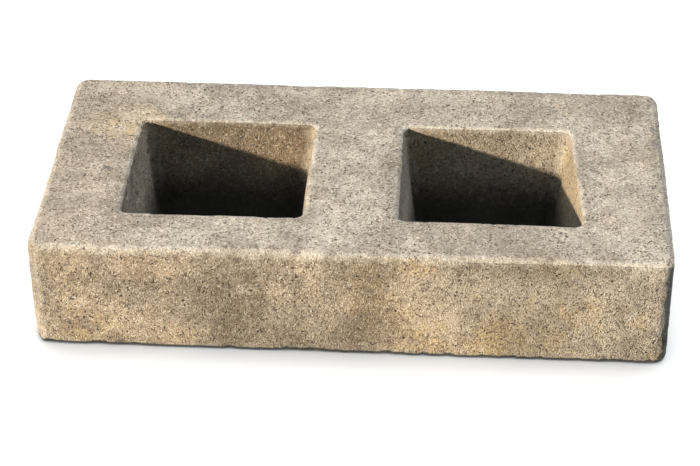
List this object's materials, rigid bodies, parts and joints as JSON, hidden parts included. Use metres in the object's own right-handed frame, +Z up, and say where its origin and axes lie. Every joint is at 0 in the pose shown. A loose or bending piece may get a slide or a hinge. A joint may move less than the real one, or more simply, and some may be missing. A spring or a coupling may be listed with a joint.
{
  "type": "concrete sleeper",
  "caption": "Low rectangular block of cast concrete that lies flat, with square tapered pockets cast through it from top to base, to stand uprights in.",
  "frame": {"origin": "centre of the base, on the ground", "axes": "+X along the block's length, +Y from the front side (the pockets are nearer to it) to the back, +Z up"},
  "size_m": [0.6, 0.3, 0.115],
  "materials": {
    "concrete": "matte"
  },
  "bodies": {
    "root": {"sleeper": "concrete"}
  },
  "joints": []
}
